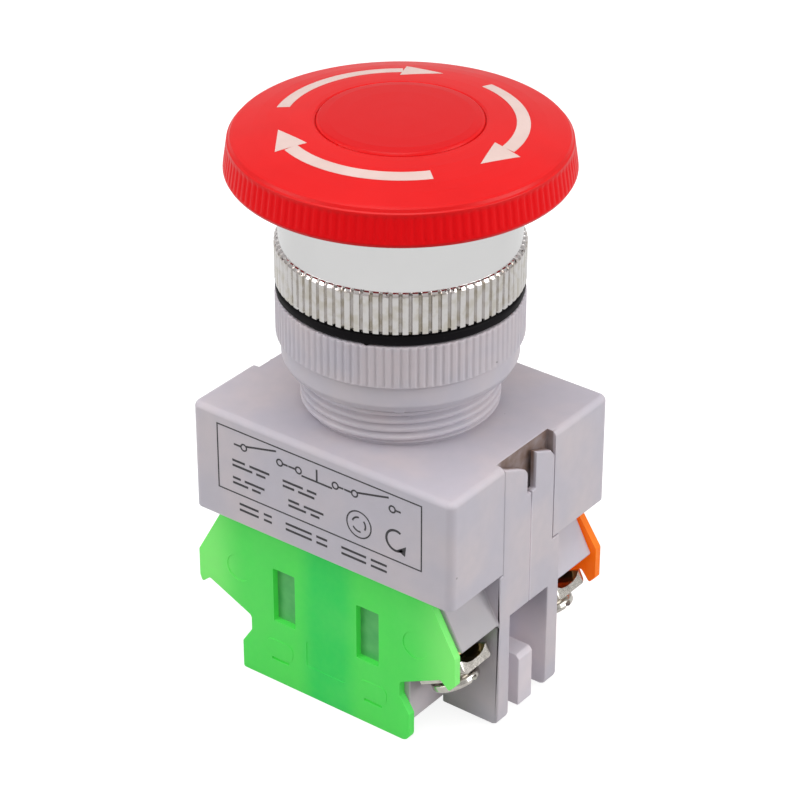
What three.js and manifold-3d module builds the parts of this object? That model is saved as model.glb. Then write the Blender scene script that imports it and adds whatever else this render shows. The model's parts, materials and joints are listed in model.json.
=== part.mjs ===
// Panel-mounted emergency stop button: red mushroom head with twist release, chrome bezel,
// clamping nut, square base with a threaded neck, and two side-by-side contact blocks
// (front: normally open, rear: normally closed).
// Millimetres. Origin: on the button axis, level with the lowest point. +Z: from the contact
// blocks up to the mushroom head. -Y: the side of the front block. +X: along the blocks.

import * as THREE from 'three';
import { mergeVertices } from 'three/addons/utils/BufferGeometryUtils.js';
import Module from 'manifold-3d';

const wasm = await Module();
wasm.setup();

// ---------- driving dimensions ----------

const GAP = 0.3; // clearance between neighbouring pieces
const HAIR = 0.1; // clearance between faces that rest on each other
const PUSH = 4.5; // travel of the mushroom head

// base housing
const BASE_HALF_X = 19.05;
const BASE_HALF_Y = 15.5;
const BASE_Z0 = 22;
const BASE_Z1 = 36.4;
const BASE_WALL = 1.8;
const BASE_END_WALL = 3.2;
const BASE_ROOF = 2;
const SLOT_WIDE = 5.5; // the slots reach further on one side than on the other
const SLOT_NARROW = 4.6;
const SLOT_DEPTH = 1.3;

// threaded neck, nut, gasket and bezel
const NECK_R = 11.8;
const NECK_BORE_R = 9.8;
const NECK_LIP_R = 8.2;
const NECK_TOP = 55.4;
const NUT_R = 14.5;
const NUT_SKIRT_R = 13.9;
const NUT_Z0 = 42.3;
const NUT_Z1 = 51.2;
const GASKET_Z1 = 52.6;
const BEZEL_Z0 = GASKET_Z1 + HAIR;
const BEZEL_STEP = 57.8;
const BEZEL_TOP = 64.9;
const BEZEL_R = 14.03;
const BEZEL_BORE_R = 12.5;

// mushroom head
const HEAD_R = 20;
const RIM_Z0 = 66.4;
const RIM_Z1 = 70.1;
const PLUG_R = 9.5;
const HEAD_TOP = 73;
const HUB_R = 12.1;
const HUB_INNER_R = 11;
const HUB_Z0 = 61.8;
const WEB_Z0 = 66.6;
const WEB_Z1 = 68.9;

// stem and pusher
const SHANK = 6; // square shank, width across flats
const CARRIER_R = 7;
const CARRIER_Z0 = 47.6;
const CARRIER_Z1 = 52.6;
const STEM_R = 4;
const STEM_TOP = 66.2;
const PIN_R = 1.4;
const PIN_Z = 50.1;
const PIN_TIP_X = 7.2;
const PUSHER_Z0 = 26.8;
const PUSHER_Z1 = 30;

// contact blocks; depth is measured from the plane between the two blocks
const BLOCK_TOP = 21.7;
const BODY_HALF_X = 11.4;
const BODY_Z0 = 2;
const BODY_DEPTH = 13.1;
const SEAM = 0.05;
const CHAMBER_HALF_X = 10.2;
const CHAMBER_Z0 = 3.2;
const CHAMBER_Z1 = 19.9;
const FLANGE_DEPTH0 = 3.8;
const FLANGE_DEPTH1 = 6;
const FLANGE_Z0 = 0.6;
const TONGUE_X0 = 18.1;
const TONGUE_X1 = 19.05;
const TONGUE_Z0 = 15.3;
const TONGUE_Z1 = 36.2;
const COVER_DEPTH0 = BODY_DEPTH + HAIR;
const COVER_DEPTH1 = 14.2;
const COVER_SHIFT = { front: -0.35, rear: 0 }; // covers sit a little off centre along X
const MECHANISM_DEPTH = 7.2; // centre line of plunger, bridge and springs
const TERMINAL_DEPTH = 9.6; // centre line of the terminal screws
const TERMINAL_X = 13.7;
const TERMINAL_Z = 11.6;
const TERMINAL_TILT = THREE.MathUtils.degToRad(27);
const STRIP_Z0 = 9.3;
const STRIP_THICKNESS = 1;
const OPEN_BRIDGE_Z0 = 13.4; // normally open bridge, underside
const CLOSED_BRIDGE_Z0 = 14.5; // normally closed bridge, underside
const CLOSED_STRIP_Z0 = 16.5;
const BRIDGE_THICKNESS = 0.8;
const PLUNGER_TOP = 26.6;

const ROUND = 40; // facets of a large round part
const FINE = 20; // facets of a small round part

// ---------- materials ----------

function finish(color, roughness, metalness) {
  return new THREE.MeshStandardMaterial({ color, roughness, metalness });
}

const materials = {
  red: finish(0xd8202a, 0.38, 0),
  chrome: finish(0xd4d4d6, 0.14, 1),
  rubber: finish(0x17141b, 0.8, 0),
  white: finish(0xc3c0cb, 0.48, 0),
  green: finish(0x4fd45c, 0.3, 0),
  orange: finish(0xec6a12, 0.35, 0),
  black: finish(0x1f1f22, 0.5, 0),
  nickel: finish(0xb9b4aa, 0.3, 1),
  brass: finish(0xc49a45, 0.35, 1),
  spring: finish(0x9a9a9c, 0.35, 1),
};

// ---------- solids ----------

// A closed three.js geometry as a solid that can be joined and cut.
function solid(geometry) {
  const bare = geometry.index ? geometry.toNonIndexed() : geometry.clone();
  bare.deleteAttribute('normal');
  bare.deleteAttribute('uv');
  const merged = mergeVertices(bare, 1e-4);
  const triangles = [];
  for (let i = 0; i < merged.index.count; i += 3) {
    const [a, b, c] = [0, 1, 2].map((k) => merged.index.getX(i + k));
    if (a !== b && b !== c && c !== a) triangles.push(a, b, c);
  }
  const build = (order) => {
    const mesh = new wasm.Mesh({
      numProp: 3,
      vertProperties: Float32Array.from(merged.attributes.position.array),
      triVerts: Uint32Array.from(order),
    });
    return new wasm.Manifold(mesh);
  };
  const made = build(triangles);
  return made.volume() > 0 ? made : build(triangles.reverse());
}

function box(x0, x1, y0, y1, z0, z1) {
  const geometry = new THREE.BoxGeometry(Math.abs(x1 - x0), Math.abs(y1 - y0), z1 - z0);
  geometry.translate((x0 + x1) / 2, (y0 + y1) / 2, (z0 + z1) / 2);
  return solid(geometry);
}

function cylinder(radius, z0, z1, x = 0, y = 0, facets = FINE) {
  const geometry = new THREE.CylinderGeometry(radius, radius, z1 - z0, facets);
  geometry.rotateX(Math.PI / 2);
  geometry.translate(x, y, (z0 + z1) / 2);
  return solid(geometry);
}

function crossCylinder(radius, x0, x1, z, facets = 16) {
  const geometry = new THREE.CylinderGeometry(radius, radius, x1 - x0, facets);
  geometry.rotateZ(Math.PI / 2);
  geometry.translate((x0 + x1) / 2, 0, z);
  return solid(geometry);
}

// Turned shape about Z from [radius, z] points; the profile closes on itself.
function turned(profile, facets = ROUND) {
  const points = [...profile, profile[0]].map(([r, z]) => new THREE.Vector2(r, z));
  const geometry = new THREE.LatheGeometry(points, facets);
  geometry.rotateX(Math.PI / 2);
  return solid(geometry);
}

// Outline in the X-Z plane, drawn between two Y values.
function slab(outline, y0, y1) {
  const shape = new THREE.Shape(outline.map(([x, z]) => new THREE.Vector2(x, z)));
  const geometry = new THREE.ExtrudeGeometry(shape, { depth: Math.abs(y1 - y0), bevelEnabled: false });
  geometry.rotateX(Math.PI / 2);
  geometry.translate(0, Math.max(y0, y1), 0);
  return solid(geometry);
}

class Helix extends THREE.Curve {
  constructor(radius, height, turns) {
    super();
    Object.assign(this, { radius, height, turns });
  }

  getPoint(t) {
    const angle = 2 * Math.PI * this.turns * t;
    return new THREE.Vector3(this.radius * Math.cos(angle), this.radius * Math.sin(angle), this.height * t);
  }
}

// Round wire wound about Z, from z0 to z1 over its outside.
function coil(radius, wireRadius, z0, z1, turns) {
  const wire = new THREE.Shape();
  wire.absarc(0, 0, wireRadius, 0, 2 * Math.PI);
  const path = new Helix(radius, z1 - z0 - 2 * wireRadius, turns);
  const geometry = new THREE.ExtrudeGeometry(wire, {
    extrudePath: path,
    steps: Math.round(turns * 9),
    curveSegments: 3,
    bevelEnabled: false,
  });
  geometry.translate(0, 0, z0 + wireRadius);
  return solid(geometry);
}

function union(...solids) {
  return solids.reduce((whole, piece) => whole.add(piece));
}

function mirrored(outline) {
  return outline.map(([x, z]) => [-x, z]).reverse();
}

const assembly = new THREE.Group();

// Adds a finished solid to the assembly (or to a placed group) as a named mesh.
function part(name, shape, material, parent = assembly) {
  const { numProp, vertProperties, triVerts } = shape.getMesh();
  const geometry = new THREE.BufferGeometry();
  const positions = new Float32Array((vertProperties.length / numProp) * 3);
  for (let i = 0; i < positions.length / 3; i += 1) {
    positions.set(vertProperties.subarray(i * numProp, i * numProp + 3), i * 3);
  }
  geometry.setAttribute('position', new THREE.BufferAttribute(positions, 3));
  geometry.setIndex(new THREE.BufferAttribute(Uint32Array.from(triVerts), 1));
  geometry.computeVertexNormals();
  const mesh = new THREE.Mesh(geometry, material);
  mesh.name = name;
  parent.add(mesh);
  return mesh;
}

// ---------- base, neck, nut, gasket, bezel ----------

// How far a slot in the base's end face reaches to the front (-1) or to the rear (+1).
function slotReach(side, end) {
  return side * end < 0 ? SLOT_WIDE : SLOT_NARROW;
}

function baseHousing() {
  const shell = box(-BASE_HALF_X, BASE_HALF_X, -BASE_HALF_Y, BASE_HALF_Y, BASE_Z0, BASE_Z1);
  const inner = box(
    -BASE_HALF_X + BASE_END_WALL,
    BASE_HALF_X - BASE_END_WALL,
    -BASE_HALF_Y + BASE_WALL,
    BASE_HALF_Y - BASE_WALL,
    BASE_Z0 - 1,
    BASE_Z1 - BASE_ROOF,
  );
  const neck = cylinder(NECK_R, BASE_Z1 - BASE_ROOF, NECK_TOP, 0, 0, ROUND);
  const lipBore = cylinder(NECK_LIP_R, BASE_Z0, NECK_TOP, 0, 0, ROUND);
  const bore = cylinder(NECK_BORE_R, BASE_Z1 + GAP, NECK_TOP + 1, 0, 0, ROUND);
  let shape = shell.subtract(inner).add(neck).subtract(lipBore).subtract(bore);
  for (const end of [-1, 1]) {
    const floor = end * (BASE_HALF_X - SLOT_DEPTH);
    const outside = end * (BASE_HALF_X + 1);
    const reach = [-slotReach(-1, end), slotReach(1, end)];
    shape = shape.subtract(box(floor, outside, ...reach, BASE_Z0 - 1, BASE_Z1 + 1));
  }
  return shape;
}

function mountingNut() {
  const bore = NECK_R + GAP;
  return turned([
    [bore, NUT_Z0],
    [NUT_SKIRT_R - 0.5, NUT_Z0],
    [NUT_SKIRT_R - 0.15, NUT_Z0 + 0.3],
    [NUT_SKIRT_R, NUT_Z0 + 1.2],
    [NUT_SKIRT_R, NUT_Z0 + 2.8],
    [NUT_R, NUT_Z0 + 3.4],
    [NUT_R, NUT_Z1],
    [bore, NUT_Z1],
  ]);
}

function panelGasket() {
  const z0 = NUT_Z1 + HAIR;
  return turned([
    [NECK_R + GAP, z0],
    [NUT_R - 0.1, z0],
    [NUT_R - 0.1, GASKET_Z1],
    [NECK_R + GAP, GASKET_Z1],
  ]);
}

function bezelRing() {
  const shoulder = NECK_TOP + GAP;
  return turned([
    [NECK_R + GAP, BEZEL_Z0],
    [NUT_R, BEZEL_Z0],
    [NUT_R, BEZEL_STEP],
    [BEZEL_R, BEZEL_STEP + 0.2],
    [BEZEL_R, BEZEL_TOP - 0.3],
    [BEZEL_R - 0.3, BEZEL_TOP],
    [BEZEL_BORE_R, BEZEL_TOP],
    [BEZEL_BORE_R, shoulder + 1],
    [8.6, shoulder + 1],
    [8.6, shoulder],
    [NECK_R + GAP, shoulder],
  ]);
}

// ---------- latch, stem, pusher ----------

// The bore widens downwards, so the sprung pins move out as the stem goes down,
// and it steps back in under the pins' lowest place.
function lockSleeve() {
  const outer = NECK_BORE_R - GAP;
  const floor = BASE_Z1 + 2 * GAP;
  const tube = turned([
    [SHANK / 2, floor],
    [outer, floor],
    [outer, NECK_TOP - GAP],
    [7.5, NECK_TOP - GAP],
    [7.5, PIN_Z + 0.5],
    [8.7, PIN_Z - PUSH - 1],
    [8.7, PIN_Z - PUSH - 1.8],
    [7.5, PIN_Z - PUSH - 2.4],
    [7.5, floor + 1.2],
    [SHANK / 2, floor + 1.2],
  ]);
  const half = SHANK / 2 + GAP;
  return tube.subtract(box(-half, half, -half, half, floor - 1, floor + 2));
}

function actuatorStem() {
  const half = SHANK / 2;
  const shank = box(-half, half, -half, half, PUSHER_Z1 + HAIR, CARRIER_Z0 + 0.5);
  const carrier = cylinder(CARRIER_R, CARRIER_Z0, CARRIER_Z1, 0, 0, ROUND);
  const journal = cylinder(STEM_R, CARRIER_Z1 - 0.5, STEM_TOP);
  const pinBore = crossCylinder(PIN_R + GAP, -CARRIER_R - 1, CARRIER_R + 1, PIN_Z);
  const topHole = cylinder(2, STEM_TOP - 9, STEM_TOP + 1);
  const bottomHole = cylinder(1.7, PUSHER_Z1 - 1, PUSHER_Z1 + 5.5, 0, 0, 16);
  return union(shank, carrier, journal).subtract(pinBore).subtract(topHole).subtract(bottomHole);
}

function pusherPlate() {
  const plate = box(-6, 6, -9.6, 9.6, PUSHER_Z0, PUSHER_Z1);
  const recess = cylinder(3, PUSHER_Z0 - 1, PUSHER_Z0 + 1.8);
  return plate.subtract(recess).subtract(cylinder(1.7, PUSHER_Z0, PUSHER_Z1 + 1, 0, 0, 16));
}

function pusherScrew() {
  const head = cylinder(2.6, PUSHER_Z0 + 0.2, PUSHER_Z0 + 1.5);
  const thread = cylinder(1.4, PUSHER_Z0 + 1, PUSHER_Z1 + 5, 0, 0, 16);
  const slot = box(-3, 3, -0.4, 0.4, PUSHER_Z0, PUSHER_Z0 + 0.9);
  return head.add(thread).subtract(slot);
}

function lockPin(side) {
  const tip = new THREE.CylinderGeometry(0.5, PIN_R, 1.2, 16);
  tip.rotateZ(-side * Math.PI / 2);
  tip.translate(side * (PIN_TIP_X - 0.6), 0, PIN_Z);
  const ends = [side * 3, side * (PIN_TIP_X - 1.2)].sort((a, b) => a - b);
  return crossCylinder(PIN_R, ends[0], ends[1], PIN_Z).add(solid(tip));
}

function lockSpring() {
  const length = 5.4;
  const shape = coil(0.95, 0.2, -length / 2, length / 2, 4);
  return shape.rotate([0, 90, 0]).translate([0, 0, PIN_Z]);
}

// ---------- head ----------

function twistCollar() {
  return turned([
    [STEM_R + GAP, CARRIER_Z1 + 0.4],
    [6.5, CARRIER_Z1 + 0.4],
    [6.5, 64.4],
    [9.2, 64.4],
    [9.2, WEB_Z0 - GAP],
    [STEM_R + GAP, WEB_Z0 - GAP],
  ], 32);
}

function mushroomCap() {
  return turned([
    [2.2, WEB_Z0],
    [HUB_INNER_R, WEB_Z0],
    [HUB_INNER_R, HUB_Z0],
    [HUB_R, HUB_Z0],
    [HUB_R, 69.8],
    [18.2, 69],
    [18.2, RIM_Z0 + 0.2],
    [18.6, RIM_Z0],
    [HEAD_R - 0.4, RIM_Z0],
    [HEAD_R, RIM_Z0 + 0.5],
    [HEAD_R - 0.45, RIM_Z1],
    [HEAD_R - 0.55, RIM_Z1 + 0.3],
    [HEAD_R - 1, RIM_Z1 + 0.8],
    [16.5, 71.5],
    [13.6, 72.05],
    [10.8, 72.42],
    [PLUG_R + 0.3, 72.5],
    [PLUG_R + 0.3, WEB_Z1],
    [2.2, WEB_Z1],
  ]);
}

function centrePlug() {
  const rim = WEB_Z1 + GAP;
  const profile = [
    [0, 71.5],
    [8.3, 71.3],
    [8.3, rim],
    [PLUG_R, rim],
    [PLUG_R, 72.6],
    [PLUG_R - 0.3, 72.74],
    [6, 72.91],
    [3, HEAD_TOP - 0.02],
    [0, HEAD_TOP],
  ].map(([r, z]) => new THREE.Vector2(r, z));
  const geometry = new THREE.LatheGeometry(profile, ROUND);
  geometry.rotateX(Math.PI / 2);
  return solid(geometry);
}

function headWasher() {
  return turned([
    [2.1, WEB_Z1 + HAIR],
    [4, WEB_Z1 + HAIR],
    [4, WEB_Z1 + 0.6],
    [2.1, WEB_Z1 + 0.6],
  ], FINE);
}

function headScrew() {
  const seat = WEB_Z1 + 0.7;
  const head = cylinder(3.2, seat, seat + 1.4);
  const thread = cylinder(1.7, STEM_TOP - 8, seat + 0.5, 0, 0, 16);
  const slotLong = box(-2.2, 2.2, -0.4, 0.4, seat + 0.6, seat + 2);
  const slotCross = box(-0.4, 0.4, -2.2, 2.2, seat + 0.6, seat + 2);
  return head.add(thread).subtract(slotLong).subtract(slotCross);
}

// ---------- contact blocks ----------

// side is -1 for the front block and +1 for the rear one.
function blockBox(side, x0, x1, depth0, depth1, z0, z1) {
  return box(x0, x1, side * depth0, side * depth1, z0, z1);
}

function endWallOutline() {
  return [
    [BODY_HALF_X - 0.5, 20.3],
    [14.8, 20.3],
    [17.5, 15.3],
    [17.5, 14.95],
    [18.85, 14.95],
    [18.85, 15.3],
    [15.4, BLOCK_TOP],
    [BODY_HALF_X - 0.5, BLOCK_TOP],
  ];
}

function flangeOutline(side) {
  const corner = 0.8;
  const foot = FLANGE_Z0 + (side > 0 ? 0.3 : 0);
  return [
    [BODY_HALF_X - 0.5, foot],
    [TONGUE_X1 - corner, foot],
    [TONGUE_X1 - corner * 0.3, foot + corner * 0.3],
    [TONGUE_X1, foot + corner],
    [TONGUE_X1, BLOCK_TOP],
    [BODY_HALF_X - 0.5, BLOCK_TOP],
  ];
}

// What is cut away over the two tongues in one slot: sloping tops and the notch between them.
function tongueTops(end) {
  const above = TONGUE_Z1 + 2;
  const outline = [
    [-6, 36.3],
    [-2.5, 34.8],
    [-1.3, 34.1],
    [-0.85, 33.5],
    [-0.85, 30.6],
    [0.8, 30.6],
    [0.8, 35.5],
    [3.7, 34.3],
    [4.5, 33.3],
    [6, 33],
    [6, above],
    [-6, above],
  ];
  return slab(outline, -20, -17).rotate([0, 0, end > 0 ? 90 : 270]);
}

// The tongue locks the block into the slot in the end face of the base.
function tongue(side, end) {
  const face = [end * TONGUE_X0, end * TONGUE_X1];
  const width = slotReach(side, end) - HAIR;
  const low = blockBox(side, end * (BODY_HALF_X - 0.5), face[1], SEAM, FLANGE_DEPTH0 + 0.5, TONGUE_Z0, BLOCK_TOP);
  const high = blockBox(side, face[0], face[1], SEAM, width, BLOCK_TOP - 1, TONGUE_Z1);
  return low.add(high).subtract(tongueTops(end));
}

function middleRib(side, end) {
  const outline = [
    [BODY_HALF_X + GAP, FLANGE_Z0 + 0.2],
    [TONGUE_X1 - 0.3, FLANGE_Z0 + 0.2],
    [TONGUE_X1 - 0.3, 7.5],
    [TONGUE_X1 - 0.8, 8],
    [BODY_HALF_X + GAP, 8],
  ];
  const rib = slab(end > 0 ? outline : mirrored(outline), -1.4, 1.4);
  const root = blockBox(side, end * (BODY_HALF_X - 0.5), end * (BODY_HALF_X + 1), SEAM, 1.4, FLANGE_Z0 + 1.4, 8);
  return rib.add(root);
}

// Upright behind each window of the cover, with the hook that the cover snaps over.
function snapPost(side, end, shift) {
  return blockBox(side, shift + end * 4.95, shift + end * 7.55, 10.9, BODY_DEPTH, CHAMBER_Z0 - 0.5, 16);
}

function blockHousing(side, shift) {
  const body = blockBox(side, -BODY_HALF_X, BODY_HALF_X, SEAM, BODY_DEPTH, BODY_Z0, BLOCK_TOP);
  const chamber = blockBox(side, -CHAMBER_HALF_X, CHAMBER_HALF_X, 1.8, BODY_DEPTH + 1, CHAMBER_Z0, CHAMBER_Z1);
  const roofHole = blockBox(side, -3.3, 3.3, 4.2, 10.2, CHAMBER_Z1 - 1, BLOCK_TOP + 1);
  let shape = body.subtract(chamber).subtract(roofHole);
  for (const end of [-1, 1]) {
    const place = (outline) => (end > 0 ? outline : mirrored(outline));
    const entry = blockBox(side, end * (CHAMBER_HALF_X - 0.5), end * (BODY_HALF_X + 0.5), 5.3, BODY_DEPTH + 1, 8.9, 11.9);
    shape = shape.subtract(entry);
    shape = shape.add(slab(place(endWallOutline()), side * (FLANGE_DEPTH1 - 0.5), side * BODY_DEPTH));
    shape = shape.add(slab(place(flangeOutline(side)), side * FLANGE_DEPTH0, side * FLANGE_DEPTH1));
    shape = shape.add(tongue(side, end));
    shape = shape.add(snapPost(side, end, shift));
    if (side > 0) shape = shape.add(middleRib(side, end));
  }
  return shape;
}

function coverHalf(rise, trim, tip) {
  const half = [
    [12.5, 0],
    [12.95, 0.4],
    [12.95, 3.9],
    [11.5, 6.1],
    [11.5, 8.1],
    [tip - 1.2, 11 + rise * 1.6],
    [tip, 9.95 + rise],
    [19.55, 10.9 + rise],
    [19.55, 14.65 + rise * 1.5],
    [15.6, BLOCK_TOP],
  ];
  return half.map(([x, z]) => [x - trim, z]);
}

function coverOutline(side) {
  if (side > 0) {
    const half = coverHalf(0.8, 0, 18.7);
    return [...half, ...mirrored(half)];
  }
  return [...coverHalf(0, 0.5, 18.7), ...mirrored(coverHalf(0, 0, 19.2))];
}

function blockCover(side, shift) {
  let shape = slab(coverOutline(side), side * COVER_DEPTH0, side * COVER_DEPTH1);
  for (const end of [-1, 1]) {
    shape = shape.subtract(blockBox(side, end * 4.65, end * 7.95, 12, 15, 8.9, 16.4));
  }
  return shape.translate([shift, 0, 0]);
}

// Frame with a window that the contact bridge runs through, and a stub out of the roof.
function plunger(side, windowZ0, windowZ1) {
  const frame = blockBox(side, -4.2, 4.2, 4.5, 9.9, 10, 19.6);
  const stub = blockBox(side, -3, 3, 4.5, 9.9, 19, PLUNGER_TOP);
  const window = blockBox(side, -5, 5, 5.4, 9, windowZ0, windowZ1);
  return frame.add(stub).subtract(window);
}

function contactBridge(side, z0, tipsBelow) {
  const y = side * MECHANISM_DEPTH;
  let shape = box(-8.3, 8.3, y - 1.6, y + 1.6, z0, z0 + BRIDGE_THICKNESS);
  for (const x of [-7, 7]) {
    const tip = tipsBelow
      ? cylinder(1.2, z0 - 0.4, z0 + 0.2, x, y, 12)
      : cylinder(1.2, z0 + 0.6, z0 + BRIDGE_THICKNESS + 0.4, x, y, 12);
    shape = shape.add(tip);
  }
  return shape;
}

// Placement of a terminal screw's axis: local +Z runs up the screw from head to tip.
function terminalMatrix(side, end) {
  const matrix = new THREE.Matrix4().makeRotationY(-end * TERMINAL_TILT);
  return matrix.setPosition(end * TERMINAL_X, side * TERMINAL_DEPTH, TERMINAL_Z);
}

// Sloping plate under the end wall, with a strip into the chamber that carries a fixed contact.
function terminal(side, end) {
  const plateGeometry = new THREE.BoxGeometry(6.4, 5.8, STRIP_THICKNESS);
  plateGeometry.applyMatrix4(terminalMatrix(side, end));
  const holeGeometry = new THREE.CylinderGeometry(1.75, 1.75, 4, 16);
  holeGeometry.rotateX(Math.PI / 2);
  holeGeometry.applyMatrix4(terminalMatrix(side, end));
  const y = side * MECHANISM_DEPTH;
  const stripTop = STRIP_Z0 + STRIP_THICKNESS;
  const tail = blockBox(side, end * 9, end * 11.3, FLANGE_DEPTH1 + GAP, 11.6, STRIP_Z0, stripTop);
  let shape = solid(plateGeometry).add(tail).subtract(solid(holeGeometry));
  if (side < 0) {
    const strip = box(end * 5.8, end * 9.5, y - 1.6, y + 1.6, STRIP_Z0, stripTop);
    const rivet = cylinder(1.2, stripTop - 0.2, stripTop + 0.5, end * 7, y, 12);
    return union(shape, strip, rivet);
  }
  const top = CLOSED_STRIP_Z0 + STRIP_THICKNESS;
  const leg = box(end * 8.9, end * 9.8, y - 1.6, y + 1.6, STRIP_Z0, top);
  const strip = box(end * 5.8, end * 9.5, y - 1.6, y + 1.6, CLOSED_STRIP_Z0, top);
  const rivet = cylinder(1.2, CLOSED_STRIP_Z0 - 0.6, CLOSED_STRIP_Z0 + 0.2, end * 7, y, 12);
  return union(shape, leg, strip, rivet);
}

// Clamp washer in the screw's frame: flat middle, both sides raised towards the plate.
function clampWasher(end) {
  const outline = [
    [-3.1, -0.8],
    [-3.1, -1.7],
    [-2.3, -2.4],
    [2.3, -2.4],
    [3.1, -1.7],
    [3.1, -0.8],
    [2.4, -0.8],
    [1.7, -1.4],
    [-1.7, -1.4],
    [-2.4, -0.8],
  ];
  const shape = slab(outline, end * -4.4, end * 2.7).rotate([0, 0, 90]);
  return shape.subtract(cylinder(1.75, -3, 0, 0, 0, 16));
}

function terminalScrew() {
  const head = cylinder(3, -4.6, -3.4);
  const collar = cylinder(2.4, -3.5, -2.5);
  const thread = cylinder(1.4, -3, 1.3, 0, 0, 16);
  const slotLong = box(-3.2, 3.2, -0.45, 0.45, -5, -3.7);
  const slotCross = box(-0.45, 0.45, -1.9, 1.9, -5, -3.7);
  return union(head, collar, thread).subtract(slotLong).subtract(slotCross);
}

function springAt(side, radius, wireRadius, z0, z1, turns) {
  return coil(radius, wireRadius, z0, z1, turns).translate([0, side * MECHANISM_DEPTH, 0]);
}

function addTerminal(name, side, end) {
  part(`${name}_terminal`, terminal(side, end), materials.brass);
  const placed = new THREE.Group();
  placed.applyMatrix4(terminalMatrix(side, end));
  assembly.add(placed);
  part(`${name}_clamp`, clampWasher(end), materials.nickel, placed);
  part(`${name}_screw`, terminalScrew(), materials.nickel, placed);
}

function addBlock(name, side, coverMaterial) {
  const normallyOpen = side < 0;
  const bridgeZ0 = normallyOpen ? OPEN_BRIDGE_Z0 : CLOSED_BRIDGE_Z0;
  const bridgeTop = bridgeZ0 + BRIDGE_THICKNESS;
  const windowZ0 = normallyOpen ? bridgeZ0 - HAIR : 11.4;
  const windowZ1 = normallyOpen ? 18.2 : bridgeTop + 1.2;
  const shift = COVER_SHIFT[name];
  part(`${name}_block_housing`, blockHousing(side, shift), materials.white);
  part(`${name}_block_cover`, blockCover(side, shift), coverMaterial);
  part(`${name}_plunger`, plunger(side, windowZ0, windowZ1), materials.black);
  part(`${name}_contact_bridge`, contactBridge(side, bridgeZ0, normallyOpen), materials.brass);
  const contactSpring = normallyOpen
    ? springAt(side, 1.2, 0.2, bridgeTop + HAIR, windowZ1 - HAIR, 3)
    : springAt(side, 1.2, 0.2, windowZ0 + HAIR, bridgeZ0 - HAIR, 3);
  part(`${name}_contact_spring`, contactSpring, materials.spring);
  const returnSpring = springAt(side, 1.9, 0.3, CHAMBER_Z0 + HAIR, 10 - HAIR, 3);
  part(`${name}_return_spring`, returnSpring, materials.spring);
  addTerminal(`${name}_left`, side, -1);
  addTerminal(`${name}_right`, side, 1);
}

// ---------- assembly ----------

part('base_housing', baseHousing(), materials.white);
part('mounting_nut', mountingNut(), materials.white);
part('panel_gasket', panelGasket(), materials.rubber);
part('bezel_ring', bezelRing(), materials.chrome);
part('lock_sleeve', lockSleeve(), materials.black);

part('actuator_stem', actuatorStem(), materials.black);
part('pusher_plate', pusherPlate(), materials.black);
part('pusher_screw', pusherScrew(), materials.nickel);
part('lock_pin_left', lockPin(-1), materials.nickel);
part('lock_pin_right', lockPin(1), materials.nickel);
part('lock_spring', lockSpring(), materials.spring);
part('head_return_spring', coil(5.3, 0.5, BASE_Z1 + 1.9, CARRIER_Z0 - HAIR, 3.5), materials.spring);

part('twist_collar', twistCollar(), materials.black);
part('twist_spring', coil(7.6, 0.45, 60.4, 64.2, 3), materials.spring);
part('mushroom_cap', mushroomCap(), materials.red);
part('centre_plug', centrePlug(), materials.red);
part('head_washer', headWasher(), materials.nickel);
part('head_screw', headScrew(), materials.nickel);

addBlock('front', -1, materials.green);
addBlock('rear', 1, materials.orange);

export default assembly;
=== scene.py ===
import json
import math

import bmesh
import bpy
import numpy as np
from mathutils import Matrix, Vector


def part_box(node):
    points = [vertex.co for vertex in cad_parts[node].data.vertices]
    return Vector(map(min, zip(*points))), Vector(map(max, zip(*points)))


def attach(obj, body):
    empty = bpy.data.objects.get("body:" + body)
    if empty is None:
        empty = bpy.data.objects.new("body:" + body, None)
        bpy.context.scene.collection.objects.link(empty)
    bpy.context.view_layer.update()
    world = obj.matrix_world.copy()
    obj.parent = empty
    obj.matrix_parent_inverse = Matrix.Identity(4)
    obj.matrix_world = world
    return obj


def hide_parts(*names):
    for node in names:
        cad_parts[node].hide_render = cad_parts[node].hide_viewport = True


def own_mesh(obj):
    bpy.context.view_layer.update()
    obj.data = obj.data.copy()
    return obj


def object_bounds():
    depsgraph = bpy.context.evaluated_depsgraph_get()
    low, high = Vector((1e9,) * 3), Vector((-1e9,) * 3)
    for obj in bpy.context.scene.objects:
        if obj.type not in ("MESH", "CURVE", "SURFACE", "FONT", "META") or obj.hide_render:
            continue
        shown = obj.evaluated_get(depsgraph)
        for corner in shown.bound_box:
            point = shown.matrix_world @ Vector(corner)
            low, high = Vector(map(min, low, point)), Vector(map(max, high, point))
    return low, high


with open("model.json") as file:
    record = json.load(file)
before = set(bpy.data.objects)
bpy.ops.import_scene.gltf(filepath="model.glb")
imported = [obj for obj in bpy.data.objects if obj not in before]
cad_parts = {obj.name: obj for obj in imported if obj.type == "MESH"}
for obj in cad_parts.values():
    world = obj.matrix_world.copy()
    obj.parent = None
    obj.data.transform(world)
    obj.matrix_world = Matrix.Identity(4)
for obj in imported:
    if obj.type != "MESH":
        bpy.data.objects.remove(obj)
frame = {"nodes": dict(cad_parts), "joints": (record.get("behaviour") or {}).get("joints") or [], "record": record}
cad_low, cad_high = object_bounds()
joints = {joint["name"]: joint for joint in frame["joints"]}

# Looks of the panel-mounted emergency stop button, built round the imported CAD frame.
# Shape functions work in millimetres in the CAD frame: Z = 0 under the contact blocks,
# +Z towards the mushroom head, -Y the side of the green block. MM turns them into metres.

MM = 0.001
BOTH_ENDS = (-1, 1)
SIDES = {"front": -1, "rear": 1}
ENDS = {"left": -1, "right": 1}

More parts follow.
